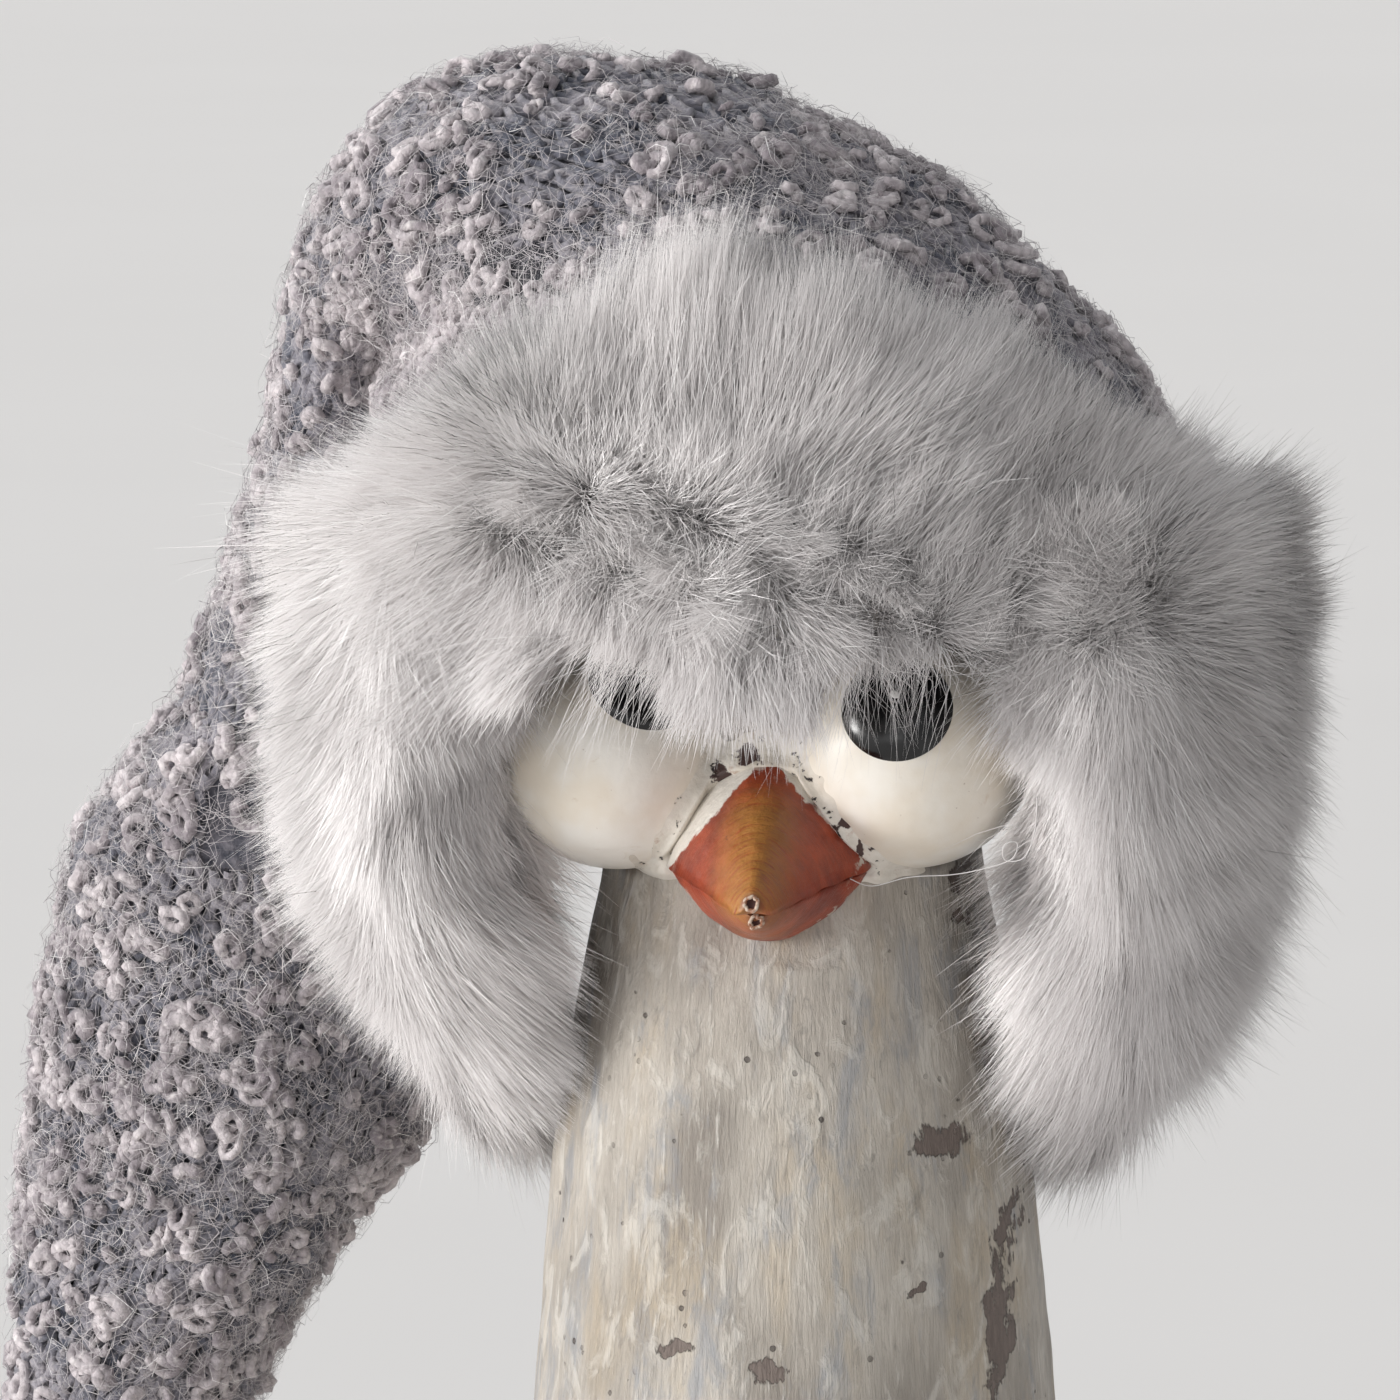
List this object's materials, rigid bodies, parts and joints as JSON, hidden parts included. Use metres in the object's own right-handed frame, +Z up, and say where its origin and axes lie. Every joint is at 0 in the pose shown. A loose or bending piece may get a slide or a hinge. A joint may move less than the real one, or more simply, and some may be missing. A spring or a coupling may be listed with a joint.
{
  "type": "decorative bird figurine with knitted hood",
  "caption": "Slim free-standing painted bird figurine wearing a removable grey knitted stocking hood with a faux-fur brim, hinged ear flaps and a hanging tail.",
  "frame": {"origin": "centre of the felt disc's lower face, on the surface that the figurine stands on", "axes": "+Z up along the figurine's height, -Y the way the bird faces, +X to the right as seen from the front"},
  "size_m": [0.136, 0.0992, 0.33],
  "materials": {
    "white_paint": "brushed cream-white paint, chipped and distressed over brown",
    "cream_gloss": "smooth ivory paint, satin gloss",
    "black_gloss": "gloss black",
    "rust_paint": "rust-orange paint dry-brushed with ochre",
    "rust_wood": "rust-orange painted dowel",
    "stained_wood": "washed, worn stain",
    "bare_wood": "bare dowel",
    "screw_steel": "zinc-plated",
    "felt": "dark grey felt",
    "boucle_knit": "knitted boucle yarn, blue-grey with beige-grey curls",
    "faux_fur": "long silvery pile",
    "lining": "dark jersey",
    "wadding": "loose polyester fill"
  },
  "bodies": {
    "figure": {"felt_disc": "felt", "plinth": "stained_wood", "foot_left": "rust_paint", "foot_right": "rust_paint", "leg_left": "rust_wood", "leg_right": "rust_wood", "leg_screw_left": "screw_steel", "leg_screw_right": "screw_steel", "body": "white_paint", "neck_dowel": "bare_wood", "wing_left": "white_paint", "wing_right": "white_paint", "bird_tail": "white_paint", "head": "white_paint", "eye_left": "cream_gloss", "eye_right": "cream_gloss", "pupil_left": "black_gloss", "pupil_right": "black_gloss", "beak_upper": "rust_paint", "beak_lower": "rust_paint"},
    "hood": {"knit_crown": "boucle_knit", "crown_lining": "lining", "crown_wadding": "wadding", "fur_band": "faux_fur"},
    "flap_left": {"flap_left_fur": "faux_fur", "flap_left_lining": "lining"},
    "flap_right": {"flap_right_fur": "faux_fur", "flap_right_lining": "lining"},
    "tail": {"tail_sleeve": "boucle_knit", "tail_wadding": "wadding", "tail_tassel": "boucle_knit"}
  },
  "joints": [
    {"name": "hood_lift", "type": "slide", "parent": "figure", "child": "hood", "axis": [0, 0, 1], "range_m": [0, 0.14]},
    {"name": "tail_swing", "type": "hinge", "parent": "hood", "child": "tail", "pos_m": [-0.038, 0.024, 0.309], "axis": [0, 1, 0], "range_deg": [0, 35]},
    {"name": "flap_left_swing", "type": "hinge", "parent": "hood", "child": "flap_left", "pos_m": [-0.0455, 0, 0.285], "axis": [0, 1, 0], "range_deg": [0, 20]},
    {"name": "flap_right_swing", "type": "hinge", "parent": "hood", "child": "flap_right", "pos_m": [0.0455, 0, 0.285], "axis": [0, -1, 0], "range_deg": [0, 60]}
  ]
}
